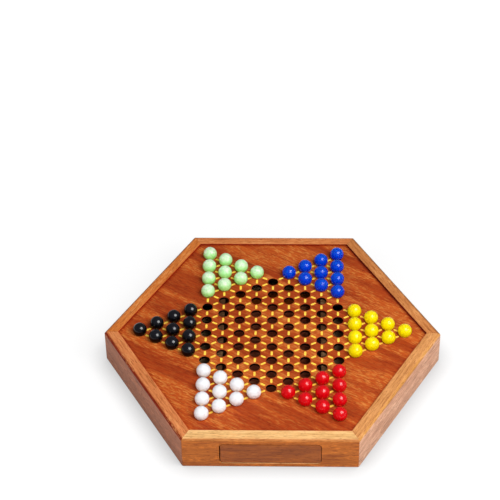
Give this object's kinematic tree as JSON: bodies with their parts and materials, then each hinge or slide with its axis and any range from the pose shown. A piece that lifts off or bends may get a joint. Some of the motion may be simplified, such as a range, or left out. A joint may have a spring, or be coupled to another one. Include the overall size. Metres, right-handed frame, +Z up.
{
  "type": "chinese checkers board",
  "caption": "Six-sided wooden game board with a star of drilled marble holes, coloured marbles and a marble drawer in its front rail.",
  "frame": {"origin": "centre of the six-sided footprint on the surface that the board stands on", "axes": "+Z up; the drawer front faces -Y; +X points at the right-hand corner, where the yellow marbles are"},
  "size_m": [0.3344, 0.2902, 0.0475],
  "materials": {
    "rail_wood": "satin",
    "panel_wood": "satin",
    "drawer_wood": "satin",
    "plywood": "matt",
    "link_enamel": "gloss",
    "marble_yellow": "gloss",
    "marble_blue": "gloss",
    "marble_green": "gloss",
    "marble_black": "gloss",
    "marble_white": "gloss",
    "marble_red": "gloss"
  },
  "bodies": {
    "case": {"rail_front": "rail_wood", "rail_front_right": "rail_wood", "rail_back_right": "rail_wood", "rail_back": "rail_wood", "rail_back_left": "rail_wood", "rail_front_left": "rail_wood", "playing_panel": "panel_wood", "link_bars": "link_enamel", "base_panel": "plywood", "bay_wall_left": "plywood", "bay_wall_right": "plywood", "drawer_stop": "plywood"},
    "drawer": {"drawer_front": "drawer_wood", "drawer_side_left": "drawer_wood", "drawer_side_right": "drawer_wood", "drawer_back": "drawer_wood", "drawer_bottom": "plywood"},
    "yellow_marbles": {"marbles_yellow": "marble_yellow"},
    "blue_marbles": {"marbles_blue": "marble_blue"},
    "green_marbles": {"marbles_green": "marble_green"},
    "black_marbles": {"marbles_black": "marble_black"},
    "white_marbles": {"marbles_white": "marble_white"},
    "red_marbles": {"marbles_red": "marble_red"}
  },
  "joints": [
    {"name": "drawer_slide", "type": "slide", "parent": "case", "child": "drawer", "axis": [0, -1, 0], "range_m": [0, 0.16]},
    {"name": "yellow_marbles_lift", "type": "slide", "parent": "case", "child": "yellow_marbles", "axis": [0, 0, 1], "range_m": [0, 0.03]},
    {"name": "blue_marbles_lift", "type": "slide", "parent": "case", "child": "blue_marbles", "axis": [0, 0, 1], "range_m": [0, 0.03]},
    {"name": "green_marbles_lift", "type": "slide", "parent": "case", "child": "green_marbles", "axis": [0, 0, 1], "range_m": [0, 0.03]},
    {"name": "black_marbles_lift", "type": "slide", "parent": "case", "child": "black_marbles", "axis": [0, 0, 1], "range_m": [0, 0.03]},
    {"name": "white_marbles_lift", "type": "slide", "parent": "case", "child": "white_marbles", "axis": [0, 0, 1], "range_m": [0, 0.03]},
    {"name": "red_marbles_lift", "type": "slide", "parent": "case", "child": "red_marbles", "axis": [0, 0, 1], "range_m": [0, 0.03]}
  ]
}
